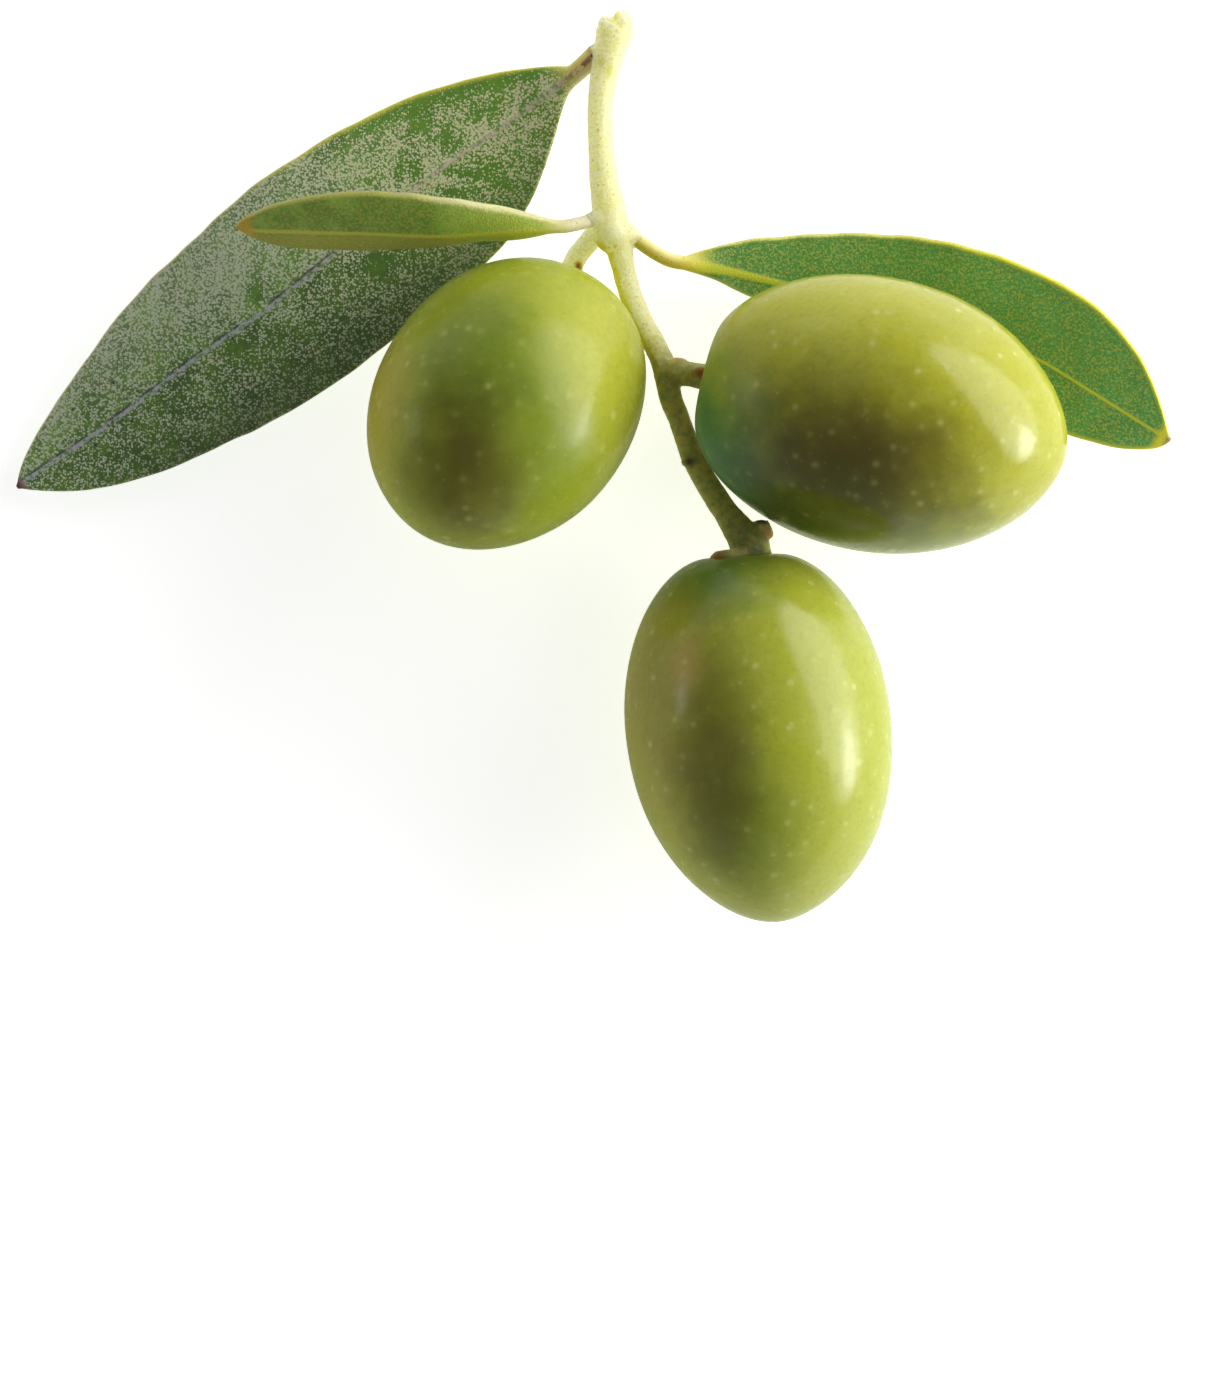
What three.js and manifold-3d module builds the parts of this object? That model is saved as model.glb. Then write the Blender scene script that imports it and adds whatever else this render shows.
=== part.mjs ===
// A sprig of green olives as it is picked, lying on a level surface: a cut twig, three leaves and
// three fruits. Millimetres, +Z up. The origin is on the surface, under the middle of the sprig,
// +X runs along the spread of the leaves and +Y towards the cut end of the twig. Every height is
// above the surface, which only the undersides of the three olives touch.

import * as THREE from 'three';
import { mergeVertices } from 'three/addons/utils/BufferGeometryUtils.js';
import Module from 'manifold-3d';

const wasm = await Module();
wasm.setup();

// ---------------------------------------------------------------------------------------------
// Driving dimensions
// ---------------------------------------------------------------------------------------------

// Gap left where one piece ends against another.
const GAP = 0.3;

// Each olive: its length and width, the place of its middle on the surface, the heading that its
// tip points to (degrees, anticlockwise from +X), how far the tip is lifted, and how far the stalk
// end leans off the long axis.
const OLIVES = {
  olive_left: { length: 24.1, width: 19.3, at: [-6.7, 4.2], heading: -126.8, lift: 28.5, lean: 8 },
  olive_right: { length: 28.1, width: 20.5, at: [21.5, 3.6], heading: -12, lift: 6, lean: -1 },
  olive_lower: { length: 27.9, width: 19.9, at: [12.4, -20.3], heading: -82.8, lift: 0, lean: -2.5 },
};

// The egg curve that the olives share: the stalk half is fuller, and the tip is more pointed.
const OLIVE_FULLNESS = 0.04;
const OLIVE_ROUNDNESS = 0.96;
const OLIVE_POINT = 0.14;
const STALK_DIMPLE = { depth: 0.55, reach: 0.17 };
const REST_FLAT_DEPTH = 0.12;
const OLIVE_SIDES = 36;
const OLIVE_STEPS = 22;

// Limbs of the twig, as [x, y, z, radius] stations from the base of each limb outwards.
const STEM = [
  [1.4, 17.9, 7.3, 1.35],
  [0.9, 20.7, 7.5, 1.13],
  [0.6, 23.7, 7.7, 0.99],
  [0.5, 26.7, 7.9, 0.95],
  [0.8, 29.2, 8.1, 1.03],
  [1.2, 31.1, 8.3, 1.19],
  [1.5, 32.4, 8.4, 1.37],
  [1.6, 33.3, 8.5, 1.3],
];
const PEDUNCLE = [
  [1.4, 17.9, 7.3, 1.3],
  [1.9, 16.5, 7.0, 1.05],
  [2.2, 15.1, 6.8, 0.87],
  [2.7, 13.2, 6.6, 0.83],
  [3.6, 11.0, 6.6, 0.82],
  [4.7, 8.9, 7.1, 0.84],
  [5.5, 6.8, 7.6, 0.92],
  [5.8, 5.1, 7.7, 0.84],
  [6.5, 3.3, 7.6, 0.79],
  [7.4, 0.7, 7.6, 0.83],
  [8.6, -1.5, 8.1, 0.88],
  [9.8, -3.4, 8.8, 0.92],
  [10.8, -4.8, 9.4, 1.15],
  [11.6, -6.0, 9.7, 1.5],
  [11.8, -7.4, 9.8, 1.65],
];
const RIGHT_PEDICEL = [
  [5.5, 6.9, 7.7, 0.85],
  [6.5, 6.9, 8.0, 0.96],
  [7.3, 6.8, 8.5, 0.9],
  [8.1, 6.6, 8.9, 0.95],
  [9.2, 6.4, 9.2, 1.0],
];
const LEFT_PEDICEL = [
  [0.9, 18.0, 7.0, 0.85],
  [0.0, 17.3, 6.3, 0.8],
  [-0.9, 16.3, 5.4, 0.79],
  [-1.6, 15.2, 4.7, 0.8],
  [-1.8, 14.1, 4.5, 0.85],
  [-1.7, 12.9, 4.9, 0.9],
];
const TORN_STUB = [
  [11.0, -5.4, 9.6, 0.8],
  [12.2, -5.0, 9.7, 0.62],
  [13.3, -4.5, 9.8, 0.5],
];
const LIMB_SIDES = 12;
const LIMB_STEP = 1.1;
// Swellings of the twig, as a middle and three half sizes: the collar where the leaves part from
// the stem, and the lobe left standing at the torn end.
const COLLAR = { at: [1.4, 17.6, 7.3], size: [1.45, 1.7, 1.4] };
const TORN_LOBE = { at: [2.1, 33.2, 8.6], size: [0.75, 0.75, 0.9] };

// Leaves. The rib runs from the twig to the tip of the blade, and the first `stalk` millimetres of
// it are round. Each half of the blade has its widest place (a share of the blade's length), its
// width there, and two exponents for the curve to the base and two for the curve to the tip. The
// left half is the one to the left of the way the leaf grows, seen from above. Roll lifts the left
// edge, and curl lifts both edges, at stations evenly spaced from the base to the tip.
const BLADE_THICKNESS = 0.6;
const RIB_HEIGHT = 0.2;
const LEAVES = {
  leaf_large: {
    rib: [
      [0.2, 30.9, 7.9],
      [-0.9, 29.9, 7.2],
      [-3.0, 28.3, 6.3],
      [-6.0, 26.2, 5.4],
      [-12.0, 22.2, 4.1],
      [-19.5, 16.3, 3.1],
      [-24.6, 12.2, 2.7],
      [-30.1, 8.4, 2.3],
      [-36.1, 3.9, 1.8],
      [-42.2, -0.2, 1.3],
      [-43.9, -1.4, 1.2],
    ],
    stalk: 2.4,
    stalkRadius: 0.75,
    left: { width: 7.9, widest: 0.3, base: [2.28, 1.4], tip: [3.14, 0.82] },
    right: { width: 7.9, widest: 0.47, base: [1.55, 0.63], tip: [1.78, 0.75] },
    roll: [0, 0, 0],
    curl: [0.05, 0.05, 0.05],
    steps: 28,
  },
  leaf_narrow: {
    rib: [
      [0.6, 18.6, 7.8],
      [-0.7, 18.2, 8.3],
      [-2.4, 17.8, 9.0],
      [-4.4, 17.6, 9.6],
      [-7.4, 17.4, 10.2],
      [-10.3, 17.2, 10.6],
      [-13.3, 17.2, 10.8],
      [-17.7, 17.4, 10.7],
      [-22.1, 17.5, 10.2],
      [-24.8, 17.6, 9.6],
      [-26.7, 17.8, 9.1],
    ],
    stalk: 2.9,
    stalkRadius: 0.5,
    left: { width: 3.0, widest: 0.6, base: [1.2, 0.9], tip: [1.8, 0.8] },
    right: { width: 3.2, widest: 0.48, base: [1.44, 0.85], tip: [2.38, 0.64] },
    roll: [-20, -55, -54, -50, -35],
    curl: [-0.1, -0.35, -0.35, -0.3, -0.1],
    steps: 20,
  },
  leaf_right: {
    rib: [
      [2.2, 17.7, 7.2],
      [3.2, 17.0, 7.2],
      [4.7, 16.0, 6.8],
      [5.8, 15.5, 6.4],
      [7.1, 15.3, 5.9],
      [9.2, 15.0, 5.0],
      [11.5, 14.6, 4.1],
      [14.4, 14.0, 3.2],
      [19.5, 13.0, 2.4],
      [24.0, 12.0, 2.2],
      [29.0, 10.4, 2.4],
      [33.6, 8.4, 2.8],
      [37.6, 5.9, 3.3],
      [42.8, 2.6, 3.6],
      [43.7, 2.1, 3.6],
    ],
    stalk: 5.4,
    stalkRadius: 0.62,
    left: { width: 6.2, widest: 0.53, base: [1.5, 0.8], tip: [3.47, 1.0] },
    right: { width: 4.5, widest: 0.75, base: [1.1, 0.7], tip: [1.25, 0.55] },
    roll: [5, 20, 23, 18, 8],
    curl: [0.1, 0, 0, 0, 0.05],
    steps: 26,
  },
};
// Columns of points across a blade, as shares of the half width, from its left edge to its right.
const BLADE_COLUMNS = [1, 0.8, 0.45, 0.1, 0, -0.1, -0.45, -0.8, -1];

const COLOURS = {
  twig: 0xe2dfae,
  olive: 0x8f9b34,
  leaf_large: 0x66775a,
  leaf_narrow: 0x6f8a3c,
  leaf_right: 0x4e7a35,
};

// ---------------------------------------------------------------------------------------------
// Closed skins and solids
// ---------------------------------------------------------------------------------------------

const UP = new THREE.Vector3(0, 0, 1);

/** The value at t (0 to 1) between numbers that are evenly spaced. */
function between(values, t) {
  const place = THREE.MathUtils.clamp(t, 0, 1) * (values.length - 1);
  const index = Math.min(Math.floor(place), values.length - 2);
  return THREE.MathUtils.lerp(values[index], values[index + 1], place - index);
}

/**
 * The closed skin over rings of equally many points, with a middle point at each end. A two-faced
 * ring lists its upper face and then its lower face backwards, and both are split alike.
 */
function skin(rings, startMiddle, endMiddle, twoFaced = false) {
  const count = rings[0].length;
  const points = [...rings.flat(), startMiddle, endMiddle];
  const start = points.length - 2;
  const end = points.length - 1;
  const faces = [];
  for (let ring = 0; ring < rings.length - 1; ring += 1) {
    for (let column = 0; column < count; column += 1) {
      const next = (column + 1) % count;
      const near = ring * count;
      const far = near + count;
      if (twoFaced && column >= count / 2) {
        faces.push(near + column, near + next, far + column);
        faces.push(near + next, far + next, far + column);
      } else {
        faces.push(near + column, near + next, far + next);
        faces.push(near + column, far + next, far + column);
      }
    }
  }
  const last = (rings.length - 1) * count;
  for (let column = 0; column < count; column += 1) {
    const next = (column + 1) % count;
    faces.push(start, next, column);
    faces.push(end, last + column, last + next);
  }
  const geometry = new THREE.BufferGeometry().setFromPoints(points);
  geometry.setIndex(faces);
  return geometry;
}

/** A manifold solid from a closed geometry. */
function toSolid(geometry) {
  const bare = geometry.clone();
  bare.deleteAttribute('normal');
  bare.deleteAttribute('uv');
  const merged = mergeVertices(bare, 1e-5);
  const faces = [];
  for (let i = 0; i < merged.index.count; i += 3) {
    const [a, b, c] = [0, 1, 2].map((corner) => merged.index.getX(i + corner));
    if (a !== b && b !== c && c !== a) {
      faces.push(a, b, c);
    }
  }
  const vertProperties = new Float32Array(merged.getAttribute('position').array);
  return new wasm.Manifold(
    new wasm.Mesh({ numProp: 3, vertProperties, triVerts: new Uint32Array(faces) }),
  );
}

/** The geometry of a manifold solid. */
function toGeometry(solid) {
  const { vertProperties, triVerts } = solid.getMesh();
  const geometry = new THREE.BufferGeometry();
  geometry.setAttribute('position', new THREE.BufferAttribute(vertProperties, 3));
  geometry.setIndex(new THREE.BufferAttribute(triVerts, 1));
  geometry.computeVertexNormals();
  return geometry;
}

function joined(solids) {
  return solids.reduce((whole, solid) => whole.add(solid));
}

// ---------------------------------------------------------------------------------------------
// Olives
// ---------------------------------------------------------------------------------------------

/** The whole egg shape of an olive about its own middle, grown all round by `extra`. */
function olive({ length, width, heading, lift, lean }, extra = 0) {
  const profile = [];
  for (let i = 0; i <= OLIVE_STEPS; i += 1) {
    const angle = Math.PI * (i / OLIVE_STEPS) ** 1.15;
    const power = OLIVE_ROUNDNESS - OLIVE_POINT * Math.cos(angle);
    const girth = Math.abs(Math.sin(angle)) ** power * (1 + OLIVE_FULLNESS * Math.cos(angle));
    const dent = (STALK_DIMPLE.depth / (length / 2)) * Math.exp(-((angle / STALK_DIMPLE.reach) ** 2));
    const onAxis = i === 0 || i === OLIVE_STEPS;
    profile.push(new THREE.Vector2(onAxis ? 0 : girth, dent - Math.cos(angle)));
  }
  const geometry = new THREE.LatheGeometry(profile, OLIVE_SIDES);
  geometry.rotateZ(-Math.PI / 2);
  geometry.rotateZ(THREE.MathUtils.degToRad(lean));
  geometry.scale(length / 2 + extra, width / 2 + extra, width / 2 + extra);
  geometry.rotateY(THREE.MathUtils.degToRad(-lift));
  geometry.rotateZ(THREE.MathUtils.degToRad(heading));
  return geometry;
}

/** How high an olive's middle lies when it rests on its small flat spot. */
function restHeight(spec) {
  const geometry = olive(spec);
  geometry.computeBoundingBox();
  return -geometry.boundingBox.min.z - REST_FLAT_DEPTH;
}

/** An olive about its own middle, with the flat spot that it rests on. */
function restingOlive(spec) {
  const below = new THREE.BoxGeometry(2 * spec.length, 2 * spec.length, spec.length);
  below.translate(0, 0, -restHeight(spec) - spec.length / 2);
  return toSolid(olive(spec)).subtract(toSolid(below));
}

// ---------------------------------------------------------------------------------------------
// Twig
// ---------------------------------------------------------------------------------------------

/** A round limb through its stations, grown all round by `extra`. */
function limb(stations, extra = 0) {
  const route = new THREE.CatmullRomCurve3(stations.map(([x, y, z]) => new THREE.Vector3(x, y, z)));
  const radii = stations.map(([, , , radius]) => radius);
  const steps = Math.round(route.getLength() / LIMB_STEP);
  const frames = route.computeFrenetFrames(steps);
  const rings = [];
  for (let i = 0; i <= steps; i += 1) {
    const middle = route.getPointAt(i / steps);
    const radius = between(radii, route.getUtoTmapping(i / steps)) + extra;
    const ring = [];
    for (let side = 0; side < LIMB_SIDES; side += 1) {
      const angle = (side / LIMB_SIDES) * 2 * Math.PI;
      ring.push(
        middle
          .clone()
          .addScaledVector(frames.normals[i], radius * Math.cos(angle))
          .addScaledVector(frames.binormals[i], radius * Math.sin(angle)),
      );
    }
    rings.push(ring);
  }
  return toSolid(skin(rings, route.getPoint(0), route.getPoint(1)));
}

/** An egg-shaped swelling, grown all round by `extra`. */
function swelling({ at, size }, extra = 0) {
  const geometry = new THREE.SphereGeometry(1, 14, 10);
  geometry.scale(...size.map((half) => half + extra));
  geometry.translate(...at);
  return toSolid(geometry);
}

/** All the limbs and swellings of the twig in one body, grown all round by `extra`. */
function twigBody(extra = 0) {
  const limbs = [STEM, PEDUNCLE, RIGHT_PEDICEL, LEFT_PEDICEL, TORN_STUB];
  const swellings = [COLLAR, TORN_LOBE];
  return joined([
    ...limbs.map((stations) => limb(stations, extra)),
    ...swellings.map((spec) => swelling(spec, extra)),
  ]);
}

/** The twig, whose pedicels end just clear of the fruit. */
function twig() {
  const fruit = Object.values(OLIVES).map((spec) => {
    const geometry = olive(spec, GAP);
    geometry.translate(...spec.at, restHeight(spec));
    return toSolid(geometry);
  });
  return twigBody().subtract(joined(fruit));
}

// ---------------------------------------------------------------------------------------------
// Leaves
// ---------------------------------------------------------------------------------------------

/** The half width of a blade at u, from 0 at its base to 1 at its tip. */
function halfWidth({ width, widest, base, tip }, u) {
  const [share, [inner, outer]] =
    u < widest ? [(widest - u) / widest, base] : [(u - widest) / (1 - widest), tip];
  return width * Math.max(1 - share ** inner, 0) ** outer;
}

/** A leaf: a round stalk that flattens into a thin blade with a raised rib on both faces. */
function leaf(spec) {
  const route = new THREE.CatmullRomCurve3(spec.rib.map((point) => new THREE.Vector3(...point)));
  const length = route.getLength();
  const tipHalfWidth = 0.15;
  const rings = [];
  for (let i = 0; i <= spec.steps; i += 1) {
    const share = i / spec.steps;
    const u = THREE.MathUtils.clamp((share * length - spec.stalk) / (length - spec.stalk), 0, 1);
    const flatness = THREE.MathUtils.smoothstep(u, 0, 0.1);
    const roll = THREE.MathUtils.degToRad(between(spec.roll, u));
    const forward = route.getTangentAt(share);
    const left = UP.clone().cross(forward).normalize().applyAxisAngle(forward, roll);
    const above = forward.clone().cross(left);
    const middle = route.getPointAt(share);
    const face = (isUpper) => (column) => {
      const half = halfWidth(column > 0 ? spec.left : spec.right, u);
      const reach = Math.max(Math.hypot(half, spec.stalkRadius * (1 - flatness)), tipHalfWidth);
      const angle = THREE.MathUtils.lerp(0.2, Math.PI - 0.2, (1 - column) / 2);
      const rib = column === 0 ? RIB_HEIGHT * (1 - u) : 0;
      const thickness = BLADE_THICKNESS / 2 + rib;
      const round = spec.stalkRadius * Math.sin(angle);
      const height = THREE.MathUtils.lerp(round, thickness, flatness) * (isUpper ? 1 : -1);
      const lift = between(spec.curl, u) * column ** 2 * half;
      return middle
        .clone()
        .addScaledVector(left, THREE.MathUtils.lerp(Math.cos(angle), column, flatness) * reach)
        .addScaledVector(above, height + lift);
    };
    rings.push([
      ...BLADE_COLUMNS.map(face(true)),
      ...BLADE_COLUMNS.toReversed().map(face(false)),
    ]);
  }
  return toSolid(skin(rings, route.getPoint(0), route.getPoint(1), true));
}

// ---------------------------------------------------------------------------------------------
// Assembly
// ---------------------------------------------------------------------------------------------

function piece(name, solid, colour, roughness) {
  const material = new THREE.MeshStandardMaterial({ color: colour, roughness, metalness: 0 });
  const mesh = new THREE.Mesh(toGeometry(solid), material);
  mesh.name = name;
  return mesh;
}

const sprig = new THREE.Group();

sprig.add(piece('twig', twig(), COLOURS.twig, 0.8));

for (const [name, spec] of Object.entries(OLIVES)) {
  const fruit = piece(name, restingOlive(spec), COLOURS.olive, 0.35);
  fruit.position.set(...spec.at, restHeight(spec));
  sprig.add(fruit);
}

const clearOfTwig = twigBody(GAP);
for (const [name, spec] of Object.entries(LEAVES)) {
  sprig.add(piece(name, leaf(spec).subtract(clearOfTwig), COLOURS[name], 0.55));
}

export default sprig;
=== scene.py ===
# A sprig of green olives as it is picked, lying on a white table: a cut twig, three leaves and three
# fruits. Metres, +Z up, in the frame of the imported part: +X runs along the spread of the leaves and
# +Y towards the cut end of the twig. Stations and sizes are given in millimetres, and MM turns them
# into metres.

import math

import bmesh
import bpy
from mathutils import Matrix, Vector, noise


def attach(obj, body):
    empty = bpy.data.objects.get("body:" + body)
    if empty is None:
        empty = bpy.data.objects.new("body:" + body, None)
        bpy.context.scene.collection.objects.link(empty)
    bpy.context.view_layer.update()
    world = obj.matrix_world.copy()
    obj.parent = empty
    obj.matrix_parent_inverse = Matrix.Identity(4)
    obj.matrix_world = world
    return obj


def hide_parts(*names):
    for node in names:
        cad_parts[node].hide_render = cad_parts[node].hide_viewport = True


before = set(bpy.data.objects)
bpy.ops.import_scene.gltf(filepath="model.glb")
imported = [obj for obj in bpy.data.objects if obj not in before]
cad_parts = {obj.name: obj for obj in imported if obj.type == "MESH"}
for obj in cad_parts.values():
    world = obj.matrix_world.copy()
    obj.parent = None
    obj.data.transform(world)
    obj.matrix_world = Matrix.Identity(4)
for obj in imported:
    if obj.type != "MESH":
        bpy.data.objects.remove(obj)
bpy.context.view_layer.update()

# ---- Table, light and camera ----
# The sprig lies on a white table. Two oval soft lights stand low at its right and a weak one at its
# left. The room is pale all round and dim overhead, so the fruit darken towards their tops, and flags
# keep the table and the far side of the room out of the reflections in their skins.

MM = 0.001

TABLE_HALF_SIZE = 3.0
TABLE_DROP = 0.02 * MM
TABLE_WHITE, TABLE_GLOW = 0.85, 0.70
# In reflections, the table is black up to the first X and loses this share of its light past the
# second.
FLAG_START, FLAG_END, FLAG_END_SHARE = 2 * MM, 30 * MM, 0.3

# Each light: the direction it stands in (degrees, azimuth anticlockwise from +X), its distance and
# size (metres), how far it is turned about its own axis (degrees), and its radiance and colour.
LIGHTS = {
    "key_light": {
        "azimuth": 18, "elevation": 20.5, "distance": 0.48,
        "width": 0.92, "height": 0.37, "roll": 10, "radiance": 3.4, "colour": (1.0, 0.99, 0.97),
    },
    "key_core": {
        "azimuth": -9, "elevation": 9, "distance": 0.44,
        "width": 0.20, "height": 0.11, "roll": 10, "radiance": 7.6, "colour": (1.0, 1.0, 0.98),
    },
    "fill_light": {
        "azimuth": 172, "elevation": 20, "distance": 0.45,
        "width": 0.13, "height": 0.07, "roll": 0, "radiance": 2.2, "colour": (0.90, 0.94, 1.0),
    },
}
LIGHT_AIM = Vector((0, 0, 10 * MM))

# The room's brightness at the horizon towards the key light, away from it and, in reflections only,
# away from it, and then overhead, where it ends its fade (as the sine of the elevation).
KEY_SIDE = (0.6, 0.8, 0)
SUNNY_GLOW, SHADY_GLOW, SHADY_REFLECTION, OVERHEAD_GLOW = 0.95, 0.80, 0.30, 0.16
OVERHEAD_FROM = 0.7

# The camera looks straight down.
CAMERA_PLACE = (1.275 * MM, -17.6 * MM, 445.5 * MM)
LENS, SENSOR_WIDTH = 150, 36


def node(tree, kind, sockets=None, **properties):
    """A new shader node. A socket gets a plain value, or the output socket that feeds it."""
    made = tree.nodes.new("ShaderNode" + kind)
    for name, value in properties.items():
        setattr(made, name, value)
    for name, value in (sockets or {}).items():
        if isinstance(value, bpy.types.NodeSocket):
            tree.links.new(value, made.inputs[name])
        else:
            made.inputs[name].default_value = value
    return made


def shaded_material(name, **sockets):
    """A new material, its node tree and its Principled shader with these sockets set."""
    material = bpy.data.materials.new(name)
    material.use_nodes = True
    tree = material.node_tree
    shader = tree.nodes["Principled BSDF"]
    for label, value in sockets.items():
        shader.inputs[label.replace("_", " ")].default_value = value
    return material, tree, shader


def finished_object(name, bm, material):
    """The bmesh as a smooth object with its material, in the scene's collection."""
    mesh = bpy.data.meshes.new(name)
    bm.to_mesh(mesh)
    bm.free()
    mesh.materials.append(material)
    mesh.shade_smooth()
    made = bpy.data.objects.new(name, mesh)
    bpy.context.scene.collection.objects.link(made)
    return made


table_material, table_tree, table_shader = shaded_material(
    "white_table",
    Base_Color=(TABLE_WHITE, TABLE_WHITE, TABLE_WHITE, 1),
    Roughness=0.85,
    Emission_Color=(1, 1, 1, 1),
    Emission_Strength=TABLE_GLOW,
)
table_x = node(table_tree, "SeparateXYZ", {0: node(table_tree, "TexCoord").outputs["Object"]}).outputs["X"]
flag_reach = {"Value": table_x, "From Min": FLAG_END, "From Max": FLAG_START, "To Min": FLAG_END_SHARE}
flagged = node(table_tree, "MapRange", flag_reach)
is_glossy = node(table_tree, "LightPath").outputs["Is Glossy Ray"]
dimmed = node(table_tree, "Math", {0: flagged.outputs["Result"], 1: is_glossy}, operation="MULTIPLY")
dimmed = {0: dimmed.outputs[0], 6: (1, 1, 1, 1), 7: (0, 0, 0, 1)}
table_glow = node(table_tree, "Mix", dimmed, data_type="RGBA").outputs[2]
table_tree.links.new(table_glow, table_shader.inputs["Emission Color"])
table_bm = bmesh.new()
bmesh.ops.create_grid(table_bm, x_segments=1, y_segments=1, size=TABLE_HALF_SIZE)
bmesh.ops.translate(table_bm, verts=table_bm.verts, vec=(0, 0, -TABLE_DROP))
table = finished_object("table", table_bm, table_material)


def soft_light(name, azimuth, elevation, distance, width, height, roll, radiance, colour):
    """An oval soft light that faces the sprig and that the camera doesn't see."""
    light = bpy.data.lights.new(name, "AREA")
    light.shape = "ELLIPSE"
    light.size, light.size_y = width, height
    light.energy = radiance * math.pi * width * height * math.pi / 4
    light.color = colour
    around, up = math.radians(azimuth), math.radians(elevation)
    away = Vector((math.cos(around) * math.cos(up), math.sin(around) * math.cos(up), math.sin(up)))
    stand = bpy.data.objects.new(name, light)
    stand.matrix_world = (
        Matrix.Translation(away * distance + LIGHT_AIM)
        @ away.to_track_quat("Z", "Y").to_matrix().to_4x4()
        @ Matrix.Rotation(math.radians(roll), 4, "Z")
    )
    stand.visible_camera = False
    bpy.context.scene.collection.objects.link(stand)


for name, light_spec in LIGHTS.items():
    soft_light(name, **light_spec)

world = bpy.data.worlds.new("pale_room")
world.use_nodes = True
bpy.context.scene.world = world
sky = world.node_tree
direction = node(sky, "TexCoord").outputs["Generated"]
towards_key = node(sky, "VectorMath", {0: direction, 1: KEY_SIDE}, operation="DOT_PRODUCT").outputs["Value"]
is_reflected = node(sky, "LightPath").outputs["Is Glossy Ray"]
shady_glow = node(sky, "MapRange", {"Value": is_reflected, "To Min": SHADY_GLOW, "To Max": SHADY_REFLECTION})
horizon = {
    "Value": towards_key,
    "From Min": -1,
    "From Max": 1,
    "To Min": shady_glow.outputs["Result"],
    "To Max": SUNNY_GLOW,
}
horizon_glow = node(sky, "MapRange", horizon).outputs["Result"]
height = {
    "Value": node(sky, "SeparateXYZ", {0: direction}).outputs["Z"],
    "From Min": 0.0,
    "From Max": OVERHEAD_FROM,
    "To Min": horizon_glow,
    "To Max": OVERHEAD_GLOW,
}
glow = node(sky, "MapRange", height, interpolation_type="SMOOTHSTEP")
background = sky.nodes["Background"]
background.inputs["Color"].default_value = (1, 1, 1, 1)
sky.links.new(glow.outputs["Result"], background.inputs["Strength"])

camera_data = bpy.data.cameras.new("camera")
camera_data.lens, camera_data.sensor_width = LENS, SENSOR_WIDTH
camera_data.clip_start, camera_data.clip_end = 0.01, 20
camera = bpy.data.objects.new("camera", camera_data)
camera.location = CAMERA_PLACE
bpy.context.scene.collection.objects.link(camera)
bpy.context.scene.camera = camera
bpy.context.scene.view_settings.view_transform = "Standard"

# ---- Olives ----
# Three unripe table olives, each one solid fruit: a fuller half at the stalk, a slightly pointed tip
# and a dimple where the stalk goes in. The waxy skin is yellow-green with browner, riper cheeks that
# also hold painted shade, peppered with pale pores, and each olive lies on a small flat spot. Other
# soft patches on it are painted light: deep green shade, a yellow glow on the lit sides and warm
# light and sheen on the left flanks.

# The egg curve: how much fuller the stalk half is, the power of the curve (1 for an ellipse) and how
# much larger that is at the pointed tip and smaller at the stalk.
OLIVE_FULLNESS, OLIVE_ROUNDNESS, OLIVE_POINT = 0.04, 0.96, 0.14
OLIVE_SIDES, OLIVE_RINGS = 112, 84
# How far below the table the uncut olive would reach (mm), which makes its flat spot.
REST_FLAT_DEPTH = 0.12
# Waves of the skin: height and length (mm), and the share of the height that the skin is sunk by.
WAVE_HEIGHT, WAVE_LENGTH, WAVE_SINK = 0.07, 6.0, 0.4

# Ripe brown: partly the riper skin, partly painted shade in the darker middles of the fruit.
RIPE_BROWN_AND_SHADE = (0.105, 0.080, 0.012)
# Painted light on the left flanks: a golden glow, and below it a pale gold sheen.
GOLDEN_PAINTED_LIGHT = (0.38, 0.32, 0.04)
PALE_GOLD_PAINTED_SHEEN = (0.52, 0.44, 0.05)
# Painted light: a yellow glow on the lit sides and tops of the fruit.
PAINTED_LIGHT_YELLOW = (0.60, 0.60, 0.06)
# Deep green: painted shade where it lies in patches on the fruit, the skin's own flecks elsewhere.
DEEP_GREEN_FLECK_AND_SHADE = (0.07, 0.16, 0.022)
BLUE_GREEN = (0.055, 0.28, 0.09)
# Gold blush: partly a blush on the skin, partly a painted reflection of the weak light at the left.
GOLD_BLUSH_AND_REFLECTION = (0.54, 0.40, 0.07)
PORE_COLOUR = (0.64, 0.66, 0.19)
# Flecks of other colours in the skin: size, colour and strength.
FLECKS = ((0.5 * MM, DEEP_GREEN_FLECK_AND_SHADE, 0.15), (0.42 * MM, RIPE_BROWN_AND_SHADE, 0.12))
LARGE_PORES = {"Spacing": 1.5 * MM, "Radius": 0.42 * MM}
SMALL_PORES = {"Spacing": 0.9 * MM, "Radius": 0.20 * MM}
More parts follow.
